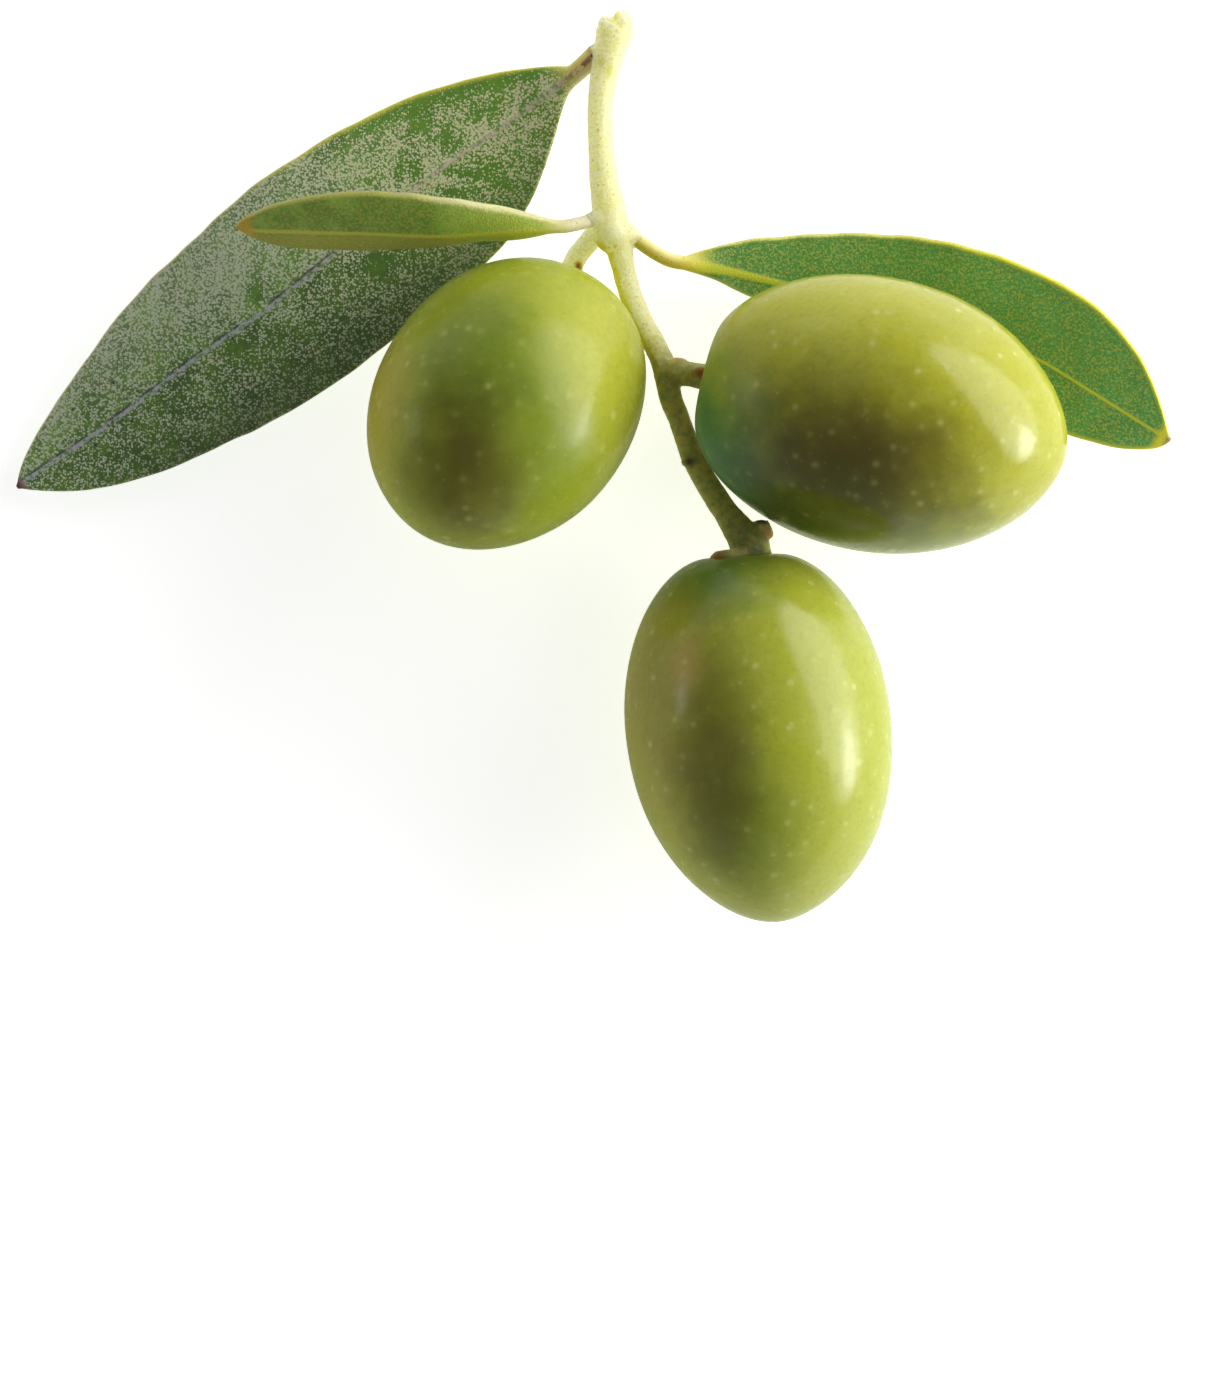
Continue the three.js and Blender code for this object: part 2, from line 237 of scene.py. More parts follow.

# Each olive: its length and width, the place of its middle on the table (mm), the heading that its
# tip points to, how far the tip is lifted, how far the stalk end leans off the long axis (degrees),
# and the depth (mm) and reach (radians) of its dimple. Its skin has a roughness, a shine, two ground
# colours and a bloom, a soft patch (middle and three half sizes, mm) where it is duller. Each of its
# tints and painted light is a soft patch of another colour, with its colour and strength: the
# skin's own tints, and painted shade, glow and sheen.
OLIVES = {
    "olive_left": {
        "length": 24.1, "width": 19.3, "at": (-6.7, 4.2), "heading": -126.8, "lift": 28.5, "lean": 8,
        "dimple": (0.55, 0.17), "roughness": 0.24, "shine": 0.34,
        "bloom": ((3.4, -3.4, 13.0), (5.0, 5.5, 8.0)),
        "ground": (0.37, 0.43, 0.020), "pale": (0.46, 0.52, 0.09),
        "tints_and_painted_light": [
            ((-8.8, 7.5, 19.0), (7.0, 9.0, 9.0), DEEP_GREEN_FLECK_AND_SHADE, 0.52),
            ((-4.5, 1.0, 19.0), (8.0, 11.0, 9.0), DEEP_GREEN_FLECK_AND_SHADE, 0.42),
            ((-15.8, 4.5, 13.0), (4.6, 9.0, 9.0), PALE_GOLD_PAINTED_SHEEN, 0.85),
            ((1.5, 8.0, 14.0), (8.0, 11.0, 9.0), PAINTED_LIGHT_YELLOW, 0.65),
            ((-9.3, -0.6, 18.0), (6.6, 9.5, 9.0), RIPE_BROWN_AND_SHADE, 0.82),
        ],
    },
    "olive_right": {
        "length": 28.1, "width": 20.5, "at": (21.5, 3.6), "heading": -12, "lift": 6, "lean": -1,
        "dimple": (0.9, 0.19), "roughness": 0.16, "shine": 0.5,
        "bloom": ((9.0, 1.0, 14.0), (9.0, 12.0, 9.0)),
        "ground": (0.45, 0.455, 0.020), "pale": (0.50, 0.52, 0.12),
        "tints_and_painted_light": [
            ((9.6, 0.0, 13.0), (10.2, 10.5, 10.0), BLUE_GREEN, 0.90),
            ((15.5, -5.6, 13.0), (11.0, 5.5, 9.0), DEEP_GREEN_FLECK_AND_SHADE, 0.80),
            ((24.0, -5.5, 13.0), (9.5, 6.5, 9.0), DEEP_GREEN_FLECK_AND_SHADE, 0.52),
            ((17.0, 12.0, 13.0), (13.0, 5.0, 9.0), PAINTED_LIGHT_YELLOW, 0.65),
            ((18.2, -1.2, 20.0), (14.5, 11.0, 13.0), RIPE_BROWN_AND_SHADE, 0.97),
            ((17.5, -4.5, 17.0), (11.0, 7.0, 9.0), DEEP_GREEN_FLECK_AND_SHADE, 0.24),
        ],
    },
    "olive_lower": {
        "length": 27.9, "width": 19.9, "at": (12.4, -20.3), "heading": -82.8, "lift": 0, "lean": -2.5,
        "dimple": (0.55, 0.17), "roughness": 0.20, "shine": 0.5,
        "bloom": None,
        "ground": (0.41, 0.45, 0.034), "pale": (0.46, 0.51, 0.10),
        "tints_and_painted_light": [
            ((8.0, -8.6, 14.0), (8.0, 5.0, 9.0), DEEP_GREEN_FLECK_AND_SHADE, 0.88),
            ((11.5, -27.0, 17.0), (6.0, 8.0, 9.0), DEEP_GREEN_FLECK_AND_SHADE, 0.35),
            ((5.2, -17.6, 14.0), (6.4, 13.0, 9.0), GOLDEN_PAINTED_LIGHT, 0.78),
            ((8.8, -22.8, 18.5), (4.6, 13.5, 9.0), RIPE_BROWN_AND_SHADE, 0.66),
            ((6.8, -14.9, 16.0), (2.2, 3.6, 6.0), GOLD_BLUSH_AND_REFLECTION, 0.75),
        ],
    },
}


def node_group(name, inputs, outputs):
    """A new shader node group, with its input and output nodes. Sockets are (label, kind) pairs."""
    tree = bpy.data.node_groups.new(name, "ShaderNodeTree")
    for way, sockets in (("INPUT", inputs), ("OUTPUT", outputs)):
        for label, kind in sockets:
            tree.interface.new_socket(label, in_out=way, socket_type="NodeSocket" + kind)
    return tree, tree.nodes.new("NodeGroupInput").outputs, tree.nodes.new("NodeGroupOutput").inputs


def maths(tree, operation, first, second=0.0, third=0.0):
    made = node(tree, "Math", {0: first, 1: second, 2: third}, operation=operation)
    return made.outputs[0]


def times(tree, first, second):
    return maths(tree, "MULTIPLY", first, second)


def vector_maths(tree, operation, first, second=(0, 0, 0)):
    return node(tree, "VectorMath", {0: first, 1: second}, operation=operation).outputs["Vector"]


def smooth_step(tree, value, start, end):
    """0 before start, 1 after end, and smooth between them. Start may be the larger."""
    sockets = {"Value": value, "From Min": start, "From Max": end}
    return node(tree, "MapRange", sockets, interpolation_type="SMOOTHSTEP").outputs["Result"]


def mixed(tree, share, first, second):
    """The first colour, with that share of the second."""
    first, second = (c if isinstance(c, bpy.types.NodeSocket) else (*c, 1) for c in (first, second))
    sockets = {0: share, 6: first, 7: second}
    return node(tree, "Mix", sockets, data_type="RGBA").outputs[2]


def tinted(tree, colour, mask, tint, strength):
    """The colour, with the tint over it where the mask lies, at that strength."""
    return mixed(tree, times(tree, mask, strength), colour, tint)


def grain(tree, size, detail=2.0, roughness=0.5):
    """Noise from 0 to 1 over the piece, with grains of about that size in metres."""
    place = node(tree, "TexCoord").outputs["Object"]
    sockets = {"Vector": place, "Scale": 1 / size, "Detail": detail, "Roughness": roughness}
    return node(tree, "TexNoise", sockets).outputs[0]


def group_node(tree, group, sockets):
    made = tree.nodes.new("ShaderNodeGroup")
    made.node_tree = group
    for name, value in sockets.items():
        if isinstance(value, bpy.types.NodeSocket):
            tree.links.new(value, made.inputs[name])
        else:
            made.inputs[name].default_value = value
    return made


# A round patch with a soft edge, about a middle in the piece's own coordinates. The wobble moves the
# edge in and out.
soft_patch, patch_in, patch_out = node_group(
    "soft_patch",
    [("Middle", "Vector"), ("Half Size", "Vector"), ("Wobble", "Float")],
    [("Mask", "Float")],
)
patch_place = node(soft_patch, "TexCoord").outputs["Object"]
patch_offset = vector_maths(soft_patch, "SUBTRACT", patch_place, patch_in["Middle"])
patch_offset = vector_maths(soft_patch, "DIVIDE", patch_offset, patch_in["Half Size"])
patch_distance = node(soft_patch, "VectorMath", {0: patch_offset}, operation="LENGTH").outputs["Value"]
patch_distance = maths(soft_patch, "ADD", patch_distance, patch_in["Wobble"])
soft_patch.links.new(smooth_step(soft_patch, patch_distance, 1.0, 0.15), patch_out["Mask"])

# Scattered round dots of mixed sizes: a hard middle and a wider soft halo.
pores, pores_in, pores_out = node_group(
    "pores", [("Spacing", "Float"), ("Radius", "Float")], [("Dot", "Float"), ("Halo", "Float")]
)
pores_scale = maths(pores, "DIVIDE", 1.0, pores_in["Spacing"])
pores_place = node(pores, "TexCoord").outputs["Object"]
pores_cells = node(pores, "TexVoronoi", {"Vector": pores_place, "Scale": pores_scale}).outputs
pores_chance = node(pores, "SeparateColor", {0: pores_cells["Color"]}).outputs["Red"]
pores_chance = maths(pores, "MULTIPLY_ADD", pores_chance, 0.75, 0.25)
pores_edge = maths(pores, "DIVIDE", pores_in["Radius"], pores_in["Spacing"])
pores_halo = times(pores, pores_edge, 2.2)
for pores_label, pores_reach in (("Dot", pores_edge), ("Halo", pores_halo)):
    pores_mask = smooth_step(pores, pores_cells["Distance"], pores_reach, 0.0)
    pores.links.new(times(pores, pores_mask, pores_chance), pores_out[pores_label])


def ragged_wobble(tree, raggedness):
    """How far the edges of a material's soft patches wander at each place."""
    wobble = maths(tree, "SUBTRACT", grain(tree, 3.0 * MM, 3.0), 0.5)
    return times(tree, wobble, raggedness)


def patch_mask(tree, middle, half_size, wobble):
    """The mask of a soft patch, from its middle and its three half sizes (mm)."""
    sockets = {"Middle": [c * MM for c in middle], "Half Size": [c * MM for c in half_size], "Wobble": wobble}
    return group_node(tree, soft_patch, sockets).outputs["Mask"]


def soft_patched(tree, colour, patches, raggedness):
    """The colour, with each soft patch of another colour laid over it."""
    wobble = ragged_wobble(tree, raggedness)
    for middle, half_size, patch_colour, strength in patches:
        patch = patch_mask(tree, middle, half_size, wobble)
        colour = tinted(tree, colour, patch, patch_colour, strength)
    return colour


def olive_skin(name, spec):
    """Waxy skin: clouded green, tints and painted light, fine flecks and pores that are paler and duller."""
    material, tree, shader = shaded_material(
        name, Subsurface_Weight=0.12, Subsurface_Scale=2.0 * MM, IOR=1.48, Specular_IOR_Level=spec["shine"]
    )
    shader.inputs["Subsurface Radius"].default_value = (1.0, 0.8, 0.25)
    cloud = smooth_step(tree, grain(tree, 5.0 * MM, 3.0), 0.35, 0.7)
    colour = tinted(tree, spec["ground"], cloud, spec["pale"], 0.3)
    colour = soft_patched(tree, colour, spec["tints_and_painted_light"], 0.5)
    for size, fleck_colour, strength in FLECKS:
        fleck = smooth_step(tree, grain(tree, size, 3.0, 0.7), 0.47, 0.70)
        colour = tinted(tree, colour, fleck, fleck_colour, strength)
    large = group_node(tree, pores, LARGE_PORES)
    small = group_node(tree, pores, SMALL_PORES)
    dots = times(tree, small.outputs["Dot"], 0.35)
    dots = maths(tree, "MULTIPLY_ADD", large.outputs["Dot"], 0.6, dots)
    dots = maths(tree, "MULTIPLY_ADD", large.outputs["Halo"], 0.12, dots)
    brightness = node(tree, "SeparateColor", {0: colour}).outputs["Green"]
    dots = times(tree, dots, maths(tree, "MULTIPLY_ADD", brightness, 1.6, 0.25))
    colour = mixed(tree, dots, colour, PORE_COLOUR)
    tree.links.new(colour, shader.inputs["Base Color"])
    sheen = smooth_step(tree, grain(tree, 2.2 * MM, 4.0, 0.6), 0.3, 0.75)
    gloss = maths(tree, "MULTIPLY_ADD", sheen, 0.10, spec["roughness"] - 0.03)
    gloss = maths(tree, "MULTIPLY_ADD", dots, 0.25, gloss)
    if spec["bloom"]:
        bloom = patch_mask(tree, *spec["bloom"], ragged_wobble(tree, 0.5))
        gloss = maths(tree, "MULTIPLY_ADD", bloom, 0.30, gloss)
    tree.links.new(gloss, shader.inputs["Roughness"])
    relief = maths(tree, "MULTIPLY_ADD", grain(tree, 1.8 * MM, 4.0, 0.6), 1.2, large.outputs["Halo"])
    bump = node(tree, "Bump", {"Strength": 0.3, "Distance": 0.05 * MM, "Height": relief})
    tree.links.new(bump.outputs["Normal"], shader.inputs["Normal"])
    return material


def olive_bmesh(spec):
    """The egg shape of an olive, turned, placed and cut flat where it rests."""
    bm = bmesh.new()
    bmesh.ops.create_uvsphere(bm, u_segments=OLIVE_SIDES, v_segments=OLIVE_RINGS, radius=1)
    half_length, half_width = spec["length"] / 2, spec["width"] / 2
    dimple_depth, dimple_reach = spec["dimple"]
    for vert in bm.verts:
        along = vert.co.z
        around = Vector((vert.co.x, vert.co.y))
        angle = math.acos(max(-1, min(1, -along)))
        power = OLIVE_ROUNDNESS - OLIVE_POINT * math.cos(angle)
        girth = math.sin(angle) ** power * (1 + OLIVE_FULLNESS * math.cos(angle))
        dent = dimple_depth / half_length * math.exp(-((angle / dimple_reach) ** 2))
        around = around.normalized() * girth
        vert.co = (dent - math.cos(angle), around.x, around.y)
    turned = (
        Matrix.Rotation(math.radians(spec["heading"]), 4, "Z")
        @ Matrix.Rotation(math.radians(-spec["lift"]), 4, "Y")
        @ Matrix.Diagonal((half_length, half_width, half_width, 1))
        @ Matrix.Rotation(math.radians(spec["lean"]), 4, "Z")
    )
    bmesh.ops.transform(bm, matrix=turned, verts=bm.verts)
    bmesh.ops.recalc_face_normals(bm, faces=bm.faces)
    lowest = min(vert.co.z for vert in bm.verts)
    bmesh.ops.translate(bm, verts=bm.verts, vec=(*spec["at"], -lowest - REST_FLAT_DEPTH))
    bm.normal_update()
    for vert in bm.verts:
        wave = noise.noise(vert.co / WAVE_LENGTH)
        vert.co += vert.normal * (wave - WAVE_SINK) * WAVE_HEIGHT
    bmesh.ops.scale(bm, vec=(MM, MM, MM), verts=bm.verts)
    cut = bmesh.ops.bisect_plane(
        bm, geom=[*bm.verts, *bm.edges, *bm.faces], plane_co=(0, 0, 0), plane_no=(0, 0, -1), clear_outer=True
    )
    bmesh.ops.holes_fill(bm, edges=[e for e in cut["geom_cut"] if isinstance(e, bmesh.types.BMEdge)])
    bmesh.ops.recalc_face_normals(bm, faces=bm.faces)
    return bm


for name, spec in OLIVES.items():
    olive = finished_object(name + "_fruit", olive_bmesh(spec), olive_skin(name + "_skin", spec))
    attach(olive, "root")
    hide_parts(name)

# ---- Twig ----
# The green wood that holds everything: the cut stem with its torn head, the collar that the leaves
# part from, the stalk that runs on between the fruit and a short stalk to each olive. It grew as one
# piece, so its limbs are swept one by one and then fused into one skin.

# Stations of each limb: x, y, z and radius (mm), from its base outwards.
LIMBS = {
    "stem": [
        (1.4, 17.9, 7.3, 1.35), (0.9, 20.7, 7.5, 1.13), (0.6, 23.7, 7.7, 0.99), (0.5, 26.7, 7.9, 0.95),
        (0.8, 29.2, 8.1, 1.03), (1.2, 31.1, 8.3, 1.19), (1.5, 32.4, 8.4, 1.33), (1.6, 33.2, 8.5, 1.1),
    ],
    "fruiting_stalk": [
        (1.4, 17.9, 7.3, 1.3), (1.9, 16.5, 7.0, 1.05), (2.2, 15.1, 6.8, 0.87), (2.7, 13.2, 6.6, 0.83),
        (3.6, 11.0, 6.6, 0.82), (4.7, 8.9, 7.1, 0.84), (5.5, 6.8, 7.6, 0.92), (5.8, 5.1, 7.7, 0.84),
        (6.5, 3.3, 7.6, 0.79), (7.4, 0.7, 7.6, 0.83), (8.6, -1.5, 8.1, 0.88), (9.8, -3.4, 8.8, 0.92),
        (10.8, -4.8, 9.4, 1.15), (11.6, -6.0, 9.7, 1.5), (11.8, -7.4, 9.8, 1.65),
    ],
    "right_stalk": [
        (5.5, 6.9, 7.7, 0.85), (6.5, 6.9, 8.0, 0.96), (7.3, 6.8, 8.5, 0.9), (8.1, 6.6, 8.9, 0.95),
        (9.2, 6.4, 9.2, 1.0),
    ],
    "left_stalk": [
        (0.9, 18.0, 7.0, 0.85), (0.0, 17.3, 6.3, 0.8), (-0.9, 16.3, 5.4, 0.79), (-1.6, 15.2, 4.7, 0.8),
        (-1.8, 14.1, 4.5, 0.85), (-1.7, 12.9, 4.9, 0.9),
    ],
    "calyx": [
        (11.4, -6.6, 10.8, 0.5), (10.7, -6.85, 12.2, 0.46), (9.9, -6.9, 12.5, 0.44),
        (9.2, -6.95, 12.0, 0.36), (8.8, -7.05, 11.3, 0.16),
    ],
    "torn_stub": [(11.0, -5.4, 9.6, 0.8), (12.2, -5.0, 9.7, 0.62), (13.2, -4.65, 9.8, 0.5)],
    "torn_flap": [(1.9, 31.3, 8.5, 0.55), (2.6, 32.0, 8.7, 0.42), (3.3, 32.5, 8.8, 0.12)],
    "large_leaf_base": [(1.0, 31.3, 8.2, 0.8), (0.45, 31.05, 8.05, 0.8), (0.0, 30.75, 7.8, 0.6)],
    "narrow_leaf_base": [(1.3, 18.5, 7.4, 0.9), (0.3, 18.5, 7.95, 0.68), (-0.7, 18.2, 8.3, 0.40)],
    "right_leaf_base": [(1.7, 17.9, 7.2, 1.0), (2.6, 17.45, 7.2, 0.78), (3.5, 16.8, 7.15, 0.50)],
}
# Swellings fused into the twig: the middle and three half sizes of each (mm).
SWELLINGS = {
    "collar": ((1.4, 17.6, 7.3), (1.45, 1.7, 1.4)),
    "torn_lobe": ((2.25, 33.12, 8.6), (0.78, 0.84, 0.95)),
    "torn_peak": ((1.86, 33.45, 8.6), (0.32, 0.60, 0.7)),
    "torn_knob": ((0.86, 32.98, 8.6), (0.52, 0.66, 0.9)),
    "torn_bridge": ((1.35, 32.95, 8.6), (0.55, 0.62, 0.8)),
    "bud_scar": ((8.0, 6.85, 9.66), (0.58, 0.46, 0.30)),
    "node_cap": ((6.3, 7.62, 8.3), (0.85, 0.42, 0.5)),
    "low_scar": ((7.15, 0.25, 8.2), (0.55, 0.42, 0.32)),
    "left_scar": ((-1.15, 15.1, 5.35), (0.32, 0.52, 0.25)),
    "stub_end": ((13.05, -5.2, 9.8), (0.36, 0.34, 0.35)),
    "stub_crust": ((12.5, -4.45, 9.9), (0.62, 0.30, 0.4)),
}
# Creases pressed into it: start, end, width and depth (mm).
CREASES = [
    ((1.1, 33.4, 9.4), (2.1, 32.75, 9.7), 0.20, 0.16),
    ((1.55, 33.8, 9.2), (1.85, 33.0, 9.6), 0.18, 0.20),
    ((0.4, 19.2, 8.6), (1.2, 18.2, 8.9), 0.16, 0.10),
    ((2.6, 17.2, 8.4), (2.0, 18.6, 8.6), 0.16, 0.10),
]
# Steps between two stations while a curve is measured, the sides of a limb, the steps along it (mm)
# and the size of the cells that fuse the limbs (mm).
CURVE_STEPS = 40
LIMB_SIDES, LIMB_STEP = 20, 0.4
SKIN_CELL = 0.105
SWELLING_SIDES, SWELLING_RINGS, SMOOTHING_PASSES = 32, 20, 3
# Waves of the bark: the length and height of each, and the lift that makes up for the smoothing (mm).
BARK_WAVES, BARK_LIFT = ((1.4, 0.05), (0.45, 0.03)), 0.03
# Painted shade: the side turned away from the key light is painted yellow below the collar and clear
# of the left fruit: the direction that it faces, the places where the yellow starts and how far it
# fades in (mm), and the least share of it elsewhere.
SHADE_SIDE = Vector((-0.85, -0.35, 0))
SHADE_TOP, SHADE_TOP_FADE, SHADE_ABOVE = 18.7, 2.3, 0.2
SHADE_LEFT, SHADE_LEFT_FADE, SHADE_BEYOND = -0.6, 1.2, 0.25

BARK_CREAM = (0.97, 0.93, 0.56)
BARK_STRAW = (0.90, 0.82, 0.30)
# Painted shade: a deeper cream for the side that faces the key light, so that it doesn't wash out.
BARK_LIT_SIDE_SHADE = (0.66, 0.62, 0.32)
BARK_SHADE_YELLOW = (0.66, 0.60, 0.035)
BARK_OLIVE = (0.27, 0.25, 0.045)
BARK_MOSS = (0.14, 0.18, 0.035)
BARK_SPECK = (0.24, 0.17, 0.07)
RUST, TAN, UMBER = (0.24, 0.072, 0.012), (0.34, 0.23, 0.06), (0.035, 0.018, 0.012)
FRESH_RUST = (0.29, 0.12, 0.014)
LIME, STRAW = (0.56, 0.60, 0.10), (0.34, 0.32, 0.12)
COLLAR_PAINTED_LIGHT = (1.0, 0.95, 0.60)
# Dark specks: spacing and radius (mm), and strength.
BARK_SPECKS = ((0.42, 0.13, 0.75), (0.9, 0.26, 0.35))
# Stains of the scars and the torn ends, and a painted light over the collar: middle, three half sizes (mm),
# colour, strength.
STAINS_AND_COLLAR_LIGHT = [
    # Painted light: a pale cream patch over the collar, which faces the dim room overhead.
    ((1.3, 17.8, 10.0), (2.4, 1.9, 4.0), COLLAR_PAINTED_LIGHT, 0.5),
    ((7.98, 6.85, 9.8), (0.80, 0.60, 0.8), RUST, 1.0),
    ((6.4, 7.85, 8.5), (1.0, 0.5, 1.0), TAN, 0.9),
    ((7.15, 0.25, 8.4), (0.80, 0.62, 0.8), UMBER, 1.0),
    ((-1.15, 15.1, 5.5), (0.46, 0.75, 0.8), FRESH_RUST, 1.0),
    ((13.2, -5.1, 9.8), (0.9, 0.85, 1.4), FRESH_RUST, 1.0),
    ((12.55, -4.25, 9.9), (0.95, 0.5, 1.4), UMBER, 1.0),
    ((9.3, -6.95, 12.0), (1.1, 0.8, 2.0), RUST, 0.95),
    ((10.6, -6.95, 12.4), (0.85, 0.7, 1.5), STRAW, 0.95),
    ((13.15, -6.4, 9.9), (0.8, 0.9, 1.6), LIME, 0.9),
    ((0.5, 30.1, 9.1), (0.55, 0.55, 1.0), LIME, 0.6),
    ((1.15, 29.4, 9.1), (0.45, 0.8, 1.0), LIME, 0.6),
    ((1.65, 33.5, 9.2), (0.35, 0.55, 0.9), LIME, 0.7),
    ((0.7, 32.4, 9.4), (0.5, 0.7, 0.8), LIME, 0.35),
]


def smooth_route(stations, step):
    """Evenly spaced (place, heading, station number) along the smooth curve through the stations."""
    points = [Vector(station[:3]) for station in stations]
    points = [2 * points[0] - points[1], *points, 2 * points[-1] - points[-2]]
    dense = []
    for i in range(len(points) - 3):
        before, start, end, after = points[i : i + 4]
        gaps = [max((b - a).length ** 0.5, 1e-4) for a, b in ((before, start), (start, end), (end, after))]
        leaving = (start - before) / gaps[0] - (end - before) / (gaps[0] + gaps[1]) + (end - start) / gaps[1]
        arriving = (end - start) / gaps[1] - (after - start) / (gaps[1] + gaps[2]) + (after - end) / gaps[2]
        leaving, arriving = leaving * gaps[1], arriving * gaps[1]
        for k in range(CURVE_STEPS):
            t = k / CURVE_STEPS
            place = (
                (2 * t**3 - 3 * t**2 + 1) * start
                + (t**3 - 2 * t**2 + t) * leaving
                + (3 * t**2 - 2 * t**3) * end
                + (t**3 - t**2) * arriving
            )
            dense.append((place, i + t))
    dense.append((points[-2], len(stations) - 1.0))
    lengths = [0.0]
    for (a, _), (b, _) in zip(dense, dense[1:]):
        lengths.append(lengths[-1] + (b - a).length)
    count = max(2, round(lengths[-1] / step))
    route = []
    at = 0
    for i in range(count + 1):
        wanted = lengths[-1] * i / count
        while at < len(dense) - 2 and lengths[at + 1] < wanted:
            at += 1
        (a, a_number), (b, b_number) = dense[at], dense[at + 1]
        share = (wanted - lengths[at]) / max(lengths[at + 1] - lengths[at], 1e-9)
        route.append((a.lerp(b, share), (b - a).normalized(), a_number + (b_number - a_number) * share))
    return route, lengths[-1]


def between(values, place):
    """The value at a place counted in list positions, straight between neighbours."""
    index = min(max(int(place), 0), len(values) - 2)
    share = min(max(place - index, 0), 1)
    return values[index] * (1 - share) + values[index + 1] * share


def add_limb(bm, stations):
    """A closed round tube through the stations: one ring, extruded from place to place."""
    route, _ = smooth_route(stations, LIMB_STEP)
    radii = [station[3] for station in stations]
    frames = []
    turn = Vector((0, 0, 1)).rotation_difference(route[0][1])
    for i, (place, heading, number) in enumerate(route):
        if i:
            turn = route[i - 1][1].rotation_difference(heading) @ turn
        size = between(radii, number)
        frames.append(Matrix.LocRotScale(place, turn, (size, size, size)))
    ring = bmesh.ops.create_circle(bm, cap_ends=True, segments=LIMB_SIDES, radius=1, matrix=frames[0])
    edges = list({edge for vert in ring["verts"] for edge in vert.link_edges})
    for before, after in zip(frames, frames[1:]):
        grown = bmesh.ops.extrude_edge_only(bm, edges=edges)["geom"]
        verts = [g for g in grown if isinstance(g, bmesh.types.BMVert)]
        edges = [g for g in grown if isinstance(g, bmesh.types.BMEdge)]
        edges = [e for e in edges if all(v in verts for v in e.verts)]
        bmesh.ops.transform(bm, matrix=after @ before.inverted(), verts=verts)
    bmesh.ops.holes_fill(bm, edges=edges)


def twig_bark(name):
    """Bark that lets light through: cream and straw on the stem, painted yellow shade, olive when old."""
    material, tree, shader = shaded_material(
        name, Roughness=0.55, Subsurface_Weight=0.95, Subsurface_Scale=4.5 * MM
    )
    shader.inputs["Subsurface Radius"].default_value = (1.0, 0.97, 0.85)
    place = node(tree, "SeparateXYZ", {0: node(tree, "TexCoord").outputs["Object"]})
    shaded = node(tree, "Attribute", attribute_name="shaded_side").outputs["Fac"]
    ragged = maths(tree, "SUBTRACT", grain(tree, 0.8 * MM, 4.0, 0.6), 0.5)
    shaded = smooth_step(tree, maths(tree, "MULTIPLY_ADD", ragged, 0.7, shaded), 0.25, 0.75)
    straw = smooth_step(tree, grain(tree, 0.24 * MM, 3.0, 0.6), 0.42, 0.62)
    colour = mixed(tree, straw, BARK_CREAM, BARK_STRAW)
    # Painted shade: yellow on the side turned away from the key light.
    colour = tinted(tree, colour, shaded, BARK_SHADE_YELLOW, 0.92)
    # Painted shade on the side that faces the key light: a deeper cream.
    lit_side = node(tree, "Attribute", attribute_name="lit_side_shade").outputs["Fac"]
    colour = tinted(tree, colour, lit_side, BARK_LIT_SIDE_SHADE, 0.85)
    moss = smooth_step(tree, grain(tree, 0.55 * MM, 4.0, 0.65), 0.42, 0.60)
    old_colour = mixed(tree, moss, BARK_OLIVE, BARK_MOSS)
    older = maths(tree, "MULTIPLY_ADD", ragged, -4.0 * MM, place.outputs["Y"])
    older = smooth_step(tree, older, 12.0 * MM, 5.6 * MM)
    colour = tinted(tree, colour, older, old_colour, 0.94)
    for spacing, radius, strength in BARK_SPECKS:
        specks = group_node(tree, pores, {"Spacing": spacing * MM, "Radius": radius * MM})
        colour = tinted(tree, colour, specks.outputs["Dot"], BARK_SPECK, strength)
    colour = soft_patched(tree, colour, STAINS_AND_COLLAR_LIGHT, 0.6)
    tree.links.new(colour, shader.inputs["Base Color"])
    relief = grain(tree, 0.22 * MM, 4.0, 0.6)
    bump = node(tree, "Bump", {"Strength": 0.8, "Distance": 0.08 * MM, "Height": relief})
    tree.links.new(bump.outputs["Normal"], shader.inputs["Normal"])
    return material


def crease_depth(place, start, end, width, depth):
    """How deep a crease is at a place, smooth towards its sides."""
    start, end = Vector(start), Vector(end)
    share = (place - start).dot(end - start) / (end - start).length_squared
    nearest = start.lerp(end, min(max(share, 0), 1))
    return depth * math.exp(-(((place - nearest).length / width) ** 2))


twig_bm = bmesh.new()
for stations in LIMBS.values():
    add_limb(twig_bm, stations)
for middle, half_size in SWELLINGS.values():
    swelling = Matrix.LocRotScale(Vector(middle), None, Vector(half_size))
    bmesh.ops.create_uvsphere(
        twig_bm, u_segments=SWELLING_SIDES, v_segments=SWELLING_RINGS, radius=1, matrix=swelling
    )
bmesh.ops.recalc_face_normals(twig_bm, faces=twig_bm.faces)
twig = finished_object("twig_wood", twig_bm, twig_bark("twig_bark"))
fuse = twig.modifiers.new("fuse", "REMESH")
fuse.mode = "VOXEL"
fuse.voxel_size = SKIN_CELL
fused = bpy.data.meshes.new_from_object(twig.evaluated_get(bpy.context.evaluated_depsgraph_get()))
twig.modifiers.clear()
twig_bm = bmesh.new()
twig_bm.from_mesh(fused)
for _ in range(SMOOTHING_PASSES):
    bmesh.ops.smooth_vert(
        twig_bm, verts=twig_bm.verts, factor=0.5, use_axis_x=True, use_axis_y=True, use_axis_z=True
    )
twig_bm.normal_update()
shaded_side = twig_bm.verts.layers.float.new("shaded_side")
lit_side_shade = twig_bm.verts.layers.float.new("lit_side_shade")
